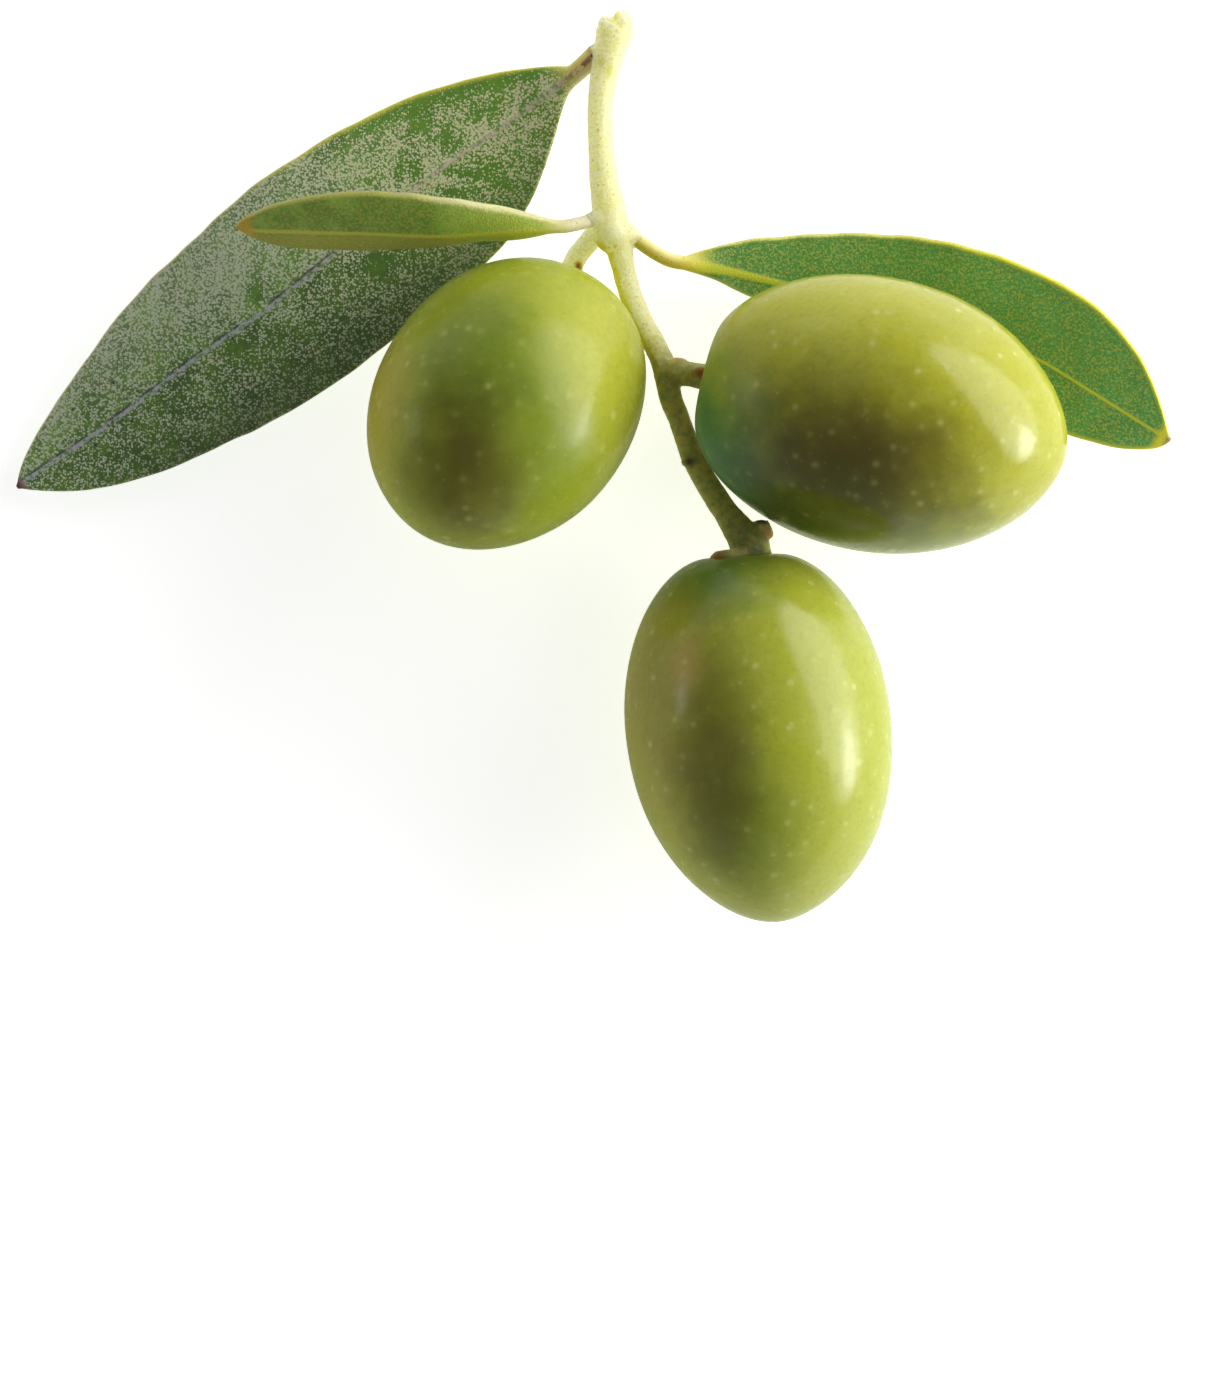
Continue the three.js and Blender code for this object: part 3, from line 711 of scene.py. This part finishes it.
for vert in twig_bm.verts:
    below_collar = min(max((SHADE_TOP - vert.co.y) / SHADE_TOP_FADE, SHADE_ABOVE), 1)
    clear_of_fruit = min(max((vert.co.x - SHADE_LEFT) / SHADE_LEFT_FADE, SHADE_BEYOND), 1)
    # Painted shade: how far each place faces away from the key light, below the collar.
    vert[shaded_side] = max(0, vert.normal.dot(SHADE_SIDE)) * below_collar * clear_of_fruit
    # Painted shade on the lit side: how far each place faces the key light.
    vert[lit_side_shade] = max(0, vert.normal.x)
    relief = BARK_LIFT + sum(noise.noise(vert.co / length) * height for length, height in BARK_WAVES)
    for crease in CREASES:
        relief -= crease_depth(vert.co, *crease)
    vert.co += vert.normal * relief
bmesh.ops.scale(twig_bm, vec=(MM, MM, MM), verts=twig_bm.verts)
twig_bm.to_mesh(twig.data)
twig_bm.free()
twig.data.shade_smooth()
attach(twig, "root")
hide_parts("twig")

# ---- Leaves ----
# Leathery olive leaves, each on a short round stalk that flattens into the blade. The midrib stands
# out of both faces, the margins are rounded and pale, and the undersides are silvery. The large
# leaf is dusted with grey scurf; the narrow one and the right one are smooth and green.

LEAF_COLUMNS, LEAF_ROWS = 80, 220
# The columns of a face crowd towards its margins, and by this power towards its midrib too.
RIB_CROWDING = 1.35
# Sizes of every blade (mm), with the midrib's spread at the tip, and the share of the blade's length
# over which the round stalk flattens.
BLADE_THICKNESS, MARGIN_ROUNDING, TIP_HALF_WIDTH, RIB_SPREAD = 0.52, 0.2, 0.15, 0.2
FLAT_FROM = 0.1
# Waves of the blade and of its outline: height and length (mm).
BLADE_WAVE, BLADE_WAVE_LENGTH = 0.12, 5.0
OUTLINE_WAVE, OUTLINE_WAVE_LENGTH = 0.12, 2.6
# What the mesh tells the skin about each place: how far it is from the midrib (positive to the left)
# and in from the margin, the share of the blade and the length of it that lie behind, and which face.
BLADE_LAYERS = ("across", "margin", "along", "run", "underside")

# Each leaf: the places that its midrib runs through, from the twig to the tip, and the length and
# radius of its stalk (mm). Each side has its greatest half width, the share of the blade's length
# where that lies, and the two powers of its outline towards the base and the tip. Roll (degrees) and
# curl (share of the half width) are given at even steps, and the midrib's height (mm) on both faces.
LEAVES = {
    "leaf_large": {
        "rib": [
            (0.2, 30.9, 7.9), (-0.9, 29.9, 7.2), (-3.0, 28.3, 6.3), (-6.0, 26.2, 5.4),
            (-12.0, 22.2, 4.1), (-19.5, 16.3, 3.1), (-24.6, 12.2, 2.7), (-30.1, 8.4, 2.3),
            (-36.1, 3.9, 1.8), (-42.2, -0.2, 1.3), (-43.9, -1.4, 1.2),
        ],
        "stalk": 2.4, "stalk_radius": 0.75,
        "left": {"width": 7.9, "widest": 0.3, "base": (2.28, 1.4), "tip": (3.14, 0.82)},
        "right": {"width": 7.9, "widest": 0.47, "base": (1.55, 0.63), "tip": (1.78, 0.75)},
        "roll": [0, 0, 0], "curl": [0.05, 0.05, 0.05],
        "rib_up": 0.17, "rib_down": 0.3,
    },
    "leaf_narrow": {
        "rib": [
            (0.6, 18.6, 7.8), (-0.7, 18.2, 8.3), (-2.4, 17.8, 9.0), (-4.4, 17.6, 9.6),
            (-7.4, 17.4, 10.2), (-10.3, 17.2, 10.6), (-13.3, 17.2, 10.8), (-17.7, 17.4, 10.7),
            (-22.1, 17.5, 10.2), (-24.8, 17.6, 9.6), (-26.7, 17.8, 9.1),
        ],
        "stalk": 2.9, "stalk_radius": 0.5,
        "left": {"width": 3.0, "widest": 0.6, "base": (1.2, 0.9), "tip": (1.8, 0.8)},
        "right": {"width": 3.2, "widest": 0.48, "base": (1.44, 0.85), "tip": (2.38, 0.64)},
        "roll": [-20, -55, -54, -50, -35], "curl": [-0.1, -0.35, -0.35, -0.3, -0.1],
        "rib_up": 0.1, "rib_down": 0.25,
    },
    "leaf_right": {
        "rib": [
            (2.2, 17.7, 7.2), (3.2, 17.0, 7.2), (4.7, 16.0, 6.8), (5.8, 15.5, 6.4), (7.1, 15.3, 5.9),
            (9.2, 15.0, 5.0), (11.5, 14.6, 4.1), (14.4, 14.0, 3.2), (19.5, 13.0, 2.4),
            (24.0, 12.0, 2.2), (29.0, 10.4, 2.4), (33.6, 8.4, 2.8), (37.6, 5.9, 3.3),
            (42.8, 2.6, 3.6), (43.7, 2.1, 3.6),
        ],
        "stalk": 5.4, "stalk_radius": 0.54,
        "left": {"width": 6.2, "widest": 0.53, "base": (1.5, 0.72), "tip": (3.47, 1.0)},
        "right": {"width": 4.5, "widest": 0.75, "base": (1.1, 0.7), "tip": (1.25, 0.55)},
        "roll": [5, 20, 23, 18, 8], "curl": [0.1, 0, 0, 0, 0.05],
        "rib_up": 0.08, "rib_down": 0.25,
    },
}

# Colours of each blade: green clouded with dark, a tint over the left half, which on the large and
# the narrow leaf is painted shade on the half turned from the light, the young green near the stalk,
# and speckles with their grain (mm) and the noise values that they fade in between. The rib and the
# margins have widths (mm) near the base and farther out, and the margins' share is given for the
# right and the left. The tip ends in a small point, the mucro, and the blade starts in a neck.
LEAF_FINISH = {
    "leaf_large": {
        "green": (0.20, 0.40, 0.050), "dark": (0.10, 0.21, 0.045), "left": (0.05, 0.10, 0.020),
        "left_share": 0.42, "roughness": 0.55, "young": (0.24, 0.54, 0.05), "young_share": 0.65,
        "speckle": (1.0, 0.98, 0.58), "grain": 0.17, "speckled": (0.18, 0.40), "speckle_share": 0.97,
        "rib": (0.95, 0.76, 0.64), "rib_widths": (0.24, 0.17), "rib_share": 0.8,
        "margin": (1.0, 0.94, 0.12), "far_margin": (0.80, 0.72, 0.30), "margin_widths": (0.55, 0.22),
        "margin_shares": (0.9, 0.1),
        "tip": (0.48, 0.3, 0.255), "mucro": (0.20, 0.06, 0.07), "tip_start": 0.985,
        "neck": (0.80, 0.78, 0.12), "neck_share": 0.5, "neck_reach": 0.035,
        "stalk_left": (1.0, 0.88, 0.70), "stalk_right": (1.0, 0.86, 0.22),
    },
    "leaf_narrow": {
        "green": (0.27, 0.52, 0.065), "dark": (0.15, 0.31, 0.034), "left": (0.36, 0.36, 0.045),
        "left_share": 0.8, "roughness": 0.5, "young": (0.58, 0.76, 0.10), "young_share": 0.7,
        "speckle": (0.62, 0.56, 0.06), "grain": 0.22, "speckled": (0.42, 0.66), "speckle_share": 0.6,
        "rib": (0.66, 0.64, 0.05), "rib_widths": (0.34, 0.20), "rib_share": 0.75,
        "margin": (0.86, 0.84, 0.38), "far_margin": (0.60, 0.60, 0.12), "margin_widths": (0.44, 0.24),
        "margin_shares": (1.0, 0.3),
        "tip": (0.62, 0.42, 0.03), "mucro": (0.60, 0.36, 0.03), "tip_start": 0.93,
        "neck": (0.84, 0.80, 0.34), "neck_share": 0.9, "neck_reach": 0.10,
        "stalk_left": (0.94, 0.86, 0.50), "stalk_right": (0.95, 0.88, 0.56),
    },
    "leaf_right": {
        "green": (0.085, 0.41, 0.12), "dark": (0.085, 0.33, 0.08), "left": (0.11, 0.39, 0.08),
        "left_share": 0.4, "roughness": 0.45, "young": (0.07, 0.25, 0.045), "young_share": 0.6,
        "speckle": (0.64, 0.62, 0.072), "grain": 0.19, "speckled": (0.45, 0.66), "speckle_share": 0.72,
        "rib": (0.64, 0.68, 0.035), "rib_widths": (0.42, 0.13), "rib_share": 0.95,
        "margin": (0.90, 0.88, 0.22), "far_margin": (0.88, 0.86, 0.04), "margin_widths": (0.26, 0.46),
        "margin_shares": (0.7, 1.0),
        "tip": (0.82, 0.78, 0.04), "mucro": (0.38, 0.28, 0.10), "tip_start": 0.965,
        "neck": (0.90, 0.83, 0.06), "neck_share": 0.9, "neck_reach": 0.07,
        "stalk_left": (0.98, 0.90, 0.42), "stalk_right": (0.84, 0.68, 0.05),
    },
}
STALK_SPECK = (0.35, 0.18, 0.07)
STALK_SPECKS = {"Spacing": 0.4 * MM, "Radius": 0.13 * MM}
UNDERSIDE_GREEN, UNDERSIDE_SILVER = (0.22, 0.29, 0.15), (0.40, 0.45, 0.33)
MUCRO_START, MUCRO_END = 0.985, 0.998

# The scurf of the large leaf: its greyer colour towards the tip, its veil, its scales, its streaks
# (their spacing, length and slant) and the patches that are nearly bare of it: middle and radius,
# the middle and half of the heights that they take in (mm), and their size along Y as a share.
TIP_SCURF, SCURF_VEIL = (0.64, 0.71, 0.50), (0.55, 0.62, 0.40)
SCURF_SCALES = {"Spacing": 0.17 * MM, "Radius": 0.165 * MM}
STREAK_SPACING, STREAK_LENGTH, STREAK_SLANT = 1.6 * MM, 6.0 * MM, 0.9
BARE_Z, BARE_HALF_Z, BARE_NARROWING = 4.0, 8.0, 0.75
BARE_PATCHES = [
    ((-13.0, 25.8), 2.0), ((-14.1, 22.5), 2.0), ((-9.8, 22.0), 2.3), ((-7.7, 22.0), 1.8),
    ((-16.0, 15.2), 1.8), ((-25.7, 13.5), 1.4), ((-26.8, 9.3), 1.2), ((-5.2, 27.6), 2.2),
    ((-10.9, 24.6), 2.2), ((-8.3, 27.0), 1.9),
]
# Its far left part is painted darker as shade, its midrib is grey towards the tip with a dark purple
# line beside it, and its stalk is golden with red blotches. Small dark spots lie on its upper face:
# middles and sizes (mm).
PAINTED_SHADE_GREEN, TIP_RIB, DARK_PURPLE = (0.04, 0.07, 0.015), (0.58, 0.59, 0.66), (0.06, 0.045, 0.09)
STALK_GOLD, STALK_BLOTCH = (1.0, 0.70, 0.20), (0.30, 0.07, 0.03)
DARK_SPOTS = [(-39.6, 4.5), (-35.1, 3.6), (-37.9, 1.8), (-36.5, 6.5), (-27.4, 9.8), (-30.9, 7.2)]
SPOT_Z, SPOT_HALF_SIZE = 2.5, (0.22, 0.22, 3.0)


def half_width(side, u):
    """The half width of a blade at u, from 0 at its base to 1 at its tip."""
    widest = side["widest"]
    if u < widest:
        share, (inner, outer) = (widest - u) / widest, side["base"]
    else:
        share, (inner, outer) = (u - widest) / (1 - widest), side["tip"]
    return side["width"] * max(1 - share**inner, 0) ** outer


def eased(value, start, end):
    """0 before start, 1 after end, and smooth between them."""
    t = min(max((value - start) / (end - start), 0), 1)
    return t * t * (3 - 2 * t)


def leaf_bmesh(spec):
    """A grid wrapped round the midrib: its first half is the upper face, its second the lower."""
    route, length = smooth_route(spec["rib"], 1.0)
    route, length = smooth_route(spec["rib"], length / LEAF_ROWS)
    rows = len(route) - 1
    bm = bmesh.new()
    layers = {key: bm.verts.layers.float.new(key) for key in BLADE_LAYERS}
    bmesh.ops.create_grid(bm, x_segments=2 * LEAF_COLUMNS, y_segments=rows, size=1)
    for vert in bm.verts:
        row = round((vert.co.y + 1) / 2 * rows)
        around = (vert.co.x + 1) / 2
        upper = around <= 0.5
        even = 1 - 4 * around if upper else 4 * around - 3
        column = math.copysign(math.sin(abs(even) ** RIB_CROWDING * math.pi / 2), even)
        middle, forward, _ = route[row]
        along = (row / rows * length - spec["stalk"]) / (length - spec["stalk"])
        u = min(max(along, 0), 1)
        flatness = eased(u, 0, FLAT_FROM)
        roll = math.radians(between(spec["roll"], u * (len(spec["roll"]) - 1)))
        left = Vector((0, 0, 1)).cross(forward).normalized()
        left = Matrix.Rotation(roll, 3, forward) @ left
        above = forward.cross(left)
        half = half_width(spec["left"] if column > 0 else spec["right"], u)
        edge_place = (along * length / OUTLINE_WAVE_LENGTH, math.copysign(3, column), length)
        half += noise.noise(edge_place) * OUTLINE_WAVE * flatness
        reach = max(math.hypot(half, spec["stalk_radius"] * (1 - flatness)), TIP_HALF_WIDTH)
        inward = (1 - abs(column)) * reach
        edge = math.sqrt(1 - (1 - min(inward / MARGIN_ROUNDING, 1)) ** 2)
        sideways = column * reach
        rib = spec["rib_up"] if upper else spec["rib_down"]
        ridge = rib * (1 - u) ** 0.7 * math.exp(-((sideways / (RIB_SPREAD * (2 - u))) ** 2))
        blade = BLADE_THICKNESS / 2 * edge + ridge
        angle = (1 - column) / 2 * math.pi
        stalk = spec["stalk_radius"] * math.sin(angle)
        height = (stalk * (1 - flatness) + blade * flatness) * (1 if upper else -1)
        lift = between(spec["curl"], u * (len(spec["curl"]) - 1)) * column**2 * half
        side = (math.cos(angle) * (1 - flatness) + column * flatness) * reach
        wave = flatness * BLADE_WAVE * noise.noise((middle + left * side) / BLADE_WAVE_LENGTH)
        vert.co = middle + left * side + above * (height + lift + wave)
        vert[layers["across"]] = sideways * MM
        vert[layers["margin"]] = inward * MM
        vert[layers["along"]] = along
        vert[layers["run"]] = along * (length - spec["stalk"]) * MM
        vert[layers["underside"]] = 0 if upper else 1
    bmesh.ops.remove_doubles(bm, verts=bm.verts, dist=1e-4)
    bmesh.ops.holes_fill(bm, edges=[edge for edge in bm.edges if edge.is_boundary])
    bmesh.ops.recalc_face_normals(bm, faces=bm.faces)
    bmesh.ops.scale(bm, vec=(MM, MM, MM), verts=bm.verts)
    return bm


def scurf_density(tree, at, outer, far_outer):
    """How thickly scurf lies on the large leaf: in slanting streaks, thinner in the bare patches."""
    slanted = maths(tree, "MULTIPLY_ADD", at["distance"], STREAK_SLANT, at["run"])
    streak_x = maths(tree, "DIVIDE", slanted, STREAK_SPACING)
    streak_y = maths(tree, "DIVIDE", at["across"], STREAK_LENGTH)
    streak_place = node(tree, "CombineXYZ", {0: streak_x, 1: streak_y}).outputs["Vector"]
    streaks = node(tree, "TexNoise", {"Vector": streak_place, "Scale": 1.0, "Detail": 3.0}).outputs[0]
    near_rib = smooth_step(tree, at["distance"], 2.4 * MM, 0.5 * MM)
    near_rib = times(tree, near_rib, smooth_step(tree, at["along"], 0.6, 0.35))
    strip = times(tree, smooth_step(tree, at["margin"], 1.9 * MM, 0.5 * MM), at["right_side"])
    strip = times(tree, strip, smooth_step(tree, at["along"], 0.42, 0.2))
    density = maths(tree, "MULTIPLY_ADD", streaks, 0.27, -0.125)
    shares = ((at["left_side"], -0.03), (outer, -0.03), (far_outer, 0.06), (near_rib, 0.07), (strip, -0.22))
    for mask, share in shares:
        density = maths(tree, "MULTIPLY_ADD", mask, share, density)
    bareness = times(tree, smooth_step(tree, streaks, 0.62, 0.44), -0.21)
    wobble = ragged_wobble(tree, 2.4)
    for (x, y), radius in BARE_PATCHES:
        half_size = (radius, radius * BARE_NARROWING, BARE_HALF_Z)
        bare = patch_mask(tree, (x, y, BARE_Z), half_size, wobble)
        density = maths(tree, "MULTIPLY_ADD", bare, bareness, density)
    return density


def shade_spots_and_dark_line(tree, at, colour):
    """Painted shade on the large leaf's far left part, its dark spots and the dark line beside its midrib."""
    # Painted shade: the far left part darkens towards its margin.
    far_left_shade = smooth_step(tree, at["across"], 2.0 * MM, 7.0 * MM)
    colour = tinted(tree, colour, far_left_shade, PAINTED_SHADE_GREEN, 0.52)
    spots = [((x, y, SPOT_Z), SPOT_HALF_SIZE, DARK_PURPLE, 0.95) for x, y in DARK_SPOTS]
    colour = soft_patched(tree, colour, spots, 0.3)
    # A dark purple line painted along one side of the midrib.
    dark_line = smooth_step(tree, at["across"], -0.40 * MM, -0.28 * MM)
    dark_line = times(tree, dark_line, smooth_step(tree, at["across"], -0.10 * MM, -0.20 * MM))
    dark_line = times(tree, dark_line, smooth_step(tree, grain(tree, 1.2 * MM, 3.0), 0.36, 0.56))
    dark_line = times(tree, dark_line, smooth_step(tree, at["along"], 0.3, 0.5))
    return tinted(tree, colour, dark_line, DARK_PURPLE, 0.8)


def with_margins(tree, at, colour, look):
    """The colour with pale, ragged margins over it."""
    right_share, left_share = look["margin_shares"]
    shares = {"Value": at["left_side"], "To Min": right_share, "To Max": left_share}
    farther = smooth_step(tree, at["along"], 0.25, 0.6)
    near_width, far_width = look["margin_widths"]
    width = {"Value": farther, "To Min": near_width * MM, "To Max": far_width * MM}
    width = node(tree, "MapRange", width).outputs["Result"]
    ragged = maths(tree, "SUBTRACT", at["fine"], 0.5)
    ragged = maths(tree, "MULTIPLY_ADD", ragged, 0.7 * MM, at["margin"])
    edge = smooth_step(tree, maths(tree, "DIVIDE", ragged, width), 1.0, 0.1)
    edge = times(tree, edge, node(tree, "MapRange", shares).outputs["Result"])
    return mixed(tree, edge, colour, mixed(tree, farther, look["margin"], look["far_margin"]))


def with_midrib(tree, at, colour, rib_colour, look):
    """The colour with the midrib over it, narrower farther out."""
    base_width, far_width = look["rib_widths"]
    width = {"Value": at["along"], "From Max": 0.4, "To Min": base_width * MM, "To Max": far_width * MM}
    width = node(tree, "MapRange", width).outputs["Result"]
    rib = smooth_step(tree, maths(tree, "DIVIDE", at["distance"], width), 1.3, 0.5)
    return tinted(tree, colour, rib, rib_colour, look["rib_share"])


def stalk_colour(tree, at, look, golden):
    """The stalk's two sides and specks, and the large leaf's gold and blotches."""
    stalk = mixed(tree, at["left_side"], look["stalk_right"], look["stalk_left"])
    specks = group_node(tree, pores, STALK_SPECKS).outputs["Dot"]
    stalk = tinted(tree, stalk, specks, STALK_SPECK, 0.5)
    if golden:
        gold = smooth_step(tree, at["distance"], 0.75 * MM, 0.15 * MM)
        stalk = tinted(tree, stalk, gold, STALK_GOLD, 0.35)
        blotch = smooth_step(tree, grain(tree, 0.40 * MM, 3.0, 0.6), 0.42, 0.52)
        blotch = times(tree, blotch, smooth_step(tree, at["distance"], 0.20 * MM, 0.06 * MM))
        stalk = tinted(tree, stalk, blotch, STALK_BLOTCH, 0.8)
    return stalk


def blade_places(tree, look):
    """The values that a blade's skin is worked out from, by name."""
    at = {key: node(tree, "Attribute", attribute_name=key).outputs["Fac"] for key in BLADE_LAYERS}
    at["distance"] = maths(tree, "ABSOLUTE", at["across"])
    at["left_side"] = smooth_step(tree, at["across"], -0.3 * MM, 0.6 * MM)
    at["right_side"] = maths(tree, "SUBTRACT", 1.0, at["left_side"])
    at["fine"] = grain(tree, look["grain"] * MM, 3.0, 0.75)
    return at


def leaf_green(tree, at, look):
    """Clouded green, the left half's tint (painted shade on two blades) and the young green near the stalk.
    """
    cloud = smooth_step(tree, grain(tree, 2.5 * MM, 3.0), 0.35, 0.65)
    colour = mixed(tree, cloud, look["green"], look["dark"])
    mottle = smooth_step(tree, grain(tree, 0.7 * MM, 3.0, 0.6), 0.42, 0.62)
    colour = tinted(tree, colour, mottle, look["dark"], 0.5)
    # On the large and the narrow leaf, this tint is painted shade on the half turned from the light.
    colour = tinted(tree, colour, at["left_side"], look["left"], look["left_share"])
    young = smooth_step(tree, at["along"], 0.45, 0.08)
    return tinted(tree, colour, young, look["young"], look["young_share"])


def scurf(tree, at, green, look):
    """The large leaf's scurf: where it lies, its colour, the veiled green and the midrib's colour."""
    outer = smooth_step(tree, at["along"], 0.12, 0.6)
    far_outer = times(tree, outer, smooth_step(tree, at["across"], 0.5 * MM, -5.0 * MM))
    density = scurf_density(tree, at, outer, far_outer)
    scales = group_node(tree, pores, SCURF_SCALES).outputs["Dot"]
    scales = maths(tree, "MULTIPLY_ADD", maths(tree, "SUBTRACT", at["fine"], 0.5), 0.75, scales)
    scales = maths(tree, "MULTIPLY_ADD", density, 1.8, scales)
    scale_colour = mixed(tree, outer, look["speckle"], TIP_SCURF)
    rib_colour = mixed(tree, smooth_step(tree, at["along"], 0.3, 0.5), look["rib"], TIP_RIB)
    rib_gaps = smooth_step(tree, grain(tree, 0.35 * MM, 3.0), 0.45, 0.65)
    rib_colour = mixed(tree, rib_gaps, rib_colour, green)
    veil = maths(tree, "MULTIPLY_ADD", density, 0.6, times(tree, far_outer, 0.20))
    veiled = mixed(tree, node(tree, "Clamp", {0: veil}).outputs[0], green, SCURF_VEIL)
    return scales, scale_colour, veiled, rib_colour


def leaf_skin(name, look):
    """A green blade with speckles or scurf, a pale midrib and margins, and a silvery underside."""
    material, tree, shader = shaded_material(name, Roughness=look["roughness"])
    scurfy = name == "leaf_large_skin"
    at = blade_places(tree, look)
    along = at["along"]
    colour = leaf_green(tree, at, look)
    fine, speckle, rib_colour = at["fine"], look["speckle"], look["rib"]
    if scurfy:
        fine, speckle, colour, rib_colour = scurf(tree, at, colour, look)
    cover = smooth_step(tree, fine, *look["speckled"])
    colour = tinted(tree, colour, cover, speckle, look["speckle_share"])
    colour = with_midrib(tree, at, colour, rib_colour, look)
    if scurfy:
        colour = shade_spots_and_dark_line(tree, at, colour)
    colour = with_margins(tree, at, colour, look)
    tip = smooth_step(tree, along, look["tip_start"], (1 + look["tip_start"]) / 2)
    colour = mixed(tree, tip, colour, look["tip"])
    colour = mixed(tree, smooth_step(tree, along, MUCRO_START, MUCRO_END), colour, look["mucro"])
    neck = smooth_step(tree, along, look["neck_reach"], 0.0)
    colour = tinted(tree, colour, neck, look["neck"], look["neck_share"])
    stalk = stalk_colour(tree, at, look, golden=scurfy)
    colour = mixed(tree, smooth_step(tree, along, 0.04, -0.03), colour, stalk)
    silver = mixed(tree, fine, UNDERSIDE_GREEN, UNDERSIDE_SILVER)
    colour = tinted(tree, colour, at["underside"], silver, 0.85)
    tree.links.new(colour, shader.inputs["Base Color"])
    bump = node(tree, "Bump", {"Strength": 0.5, "Distance": 0.05 * MM, "Height": cover})
    tree.links.new(bump.outputs["Normal"], shader.inputs["Normal"])
    return material


for name, spec in LEAVES.items():
    leaf = finished_object(name + "_blade", leaf_bmesh(spec), leaf_skin(name + "_skin", LEAF_FINISH[name]))
    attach(leaf, "root")
    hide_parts(name)
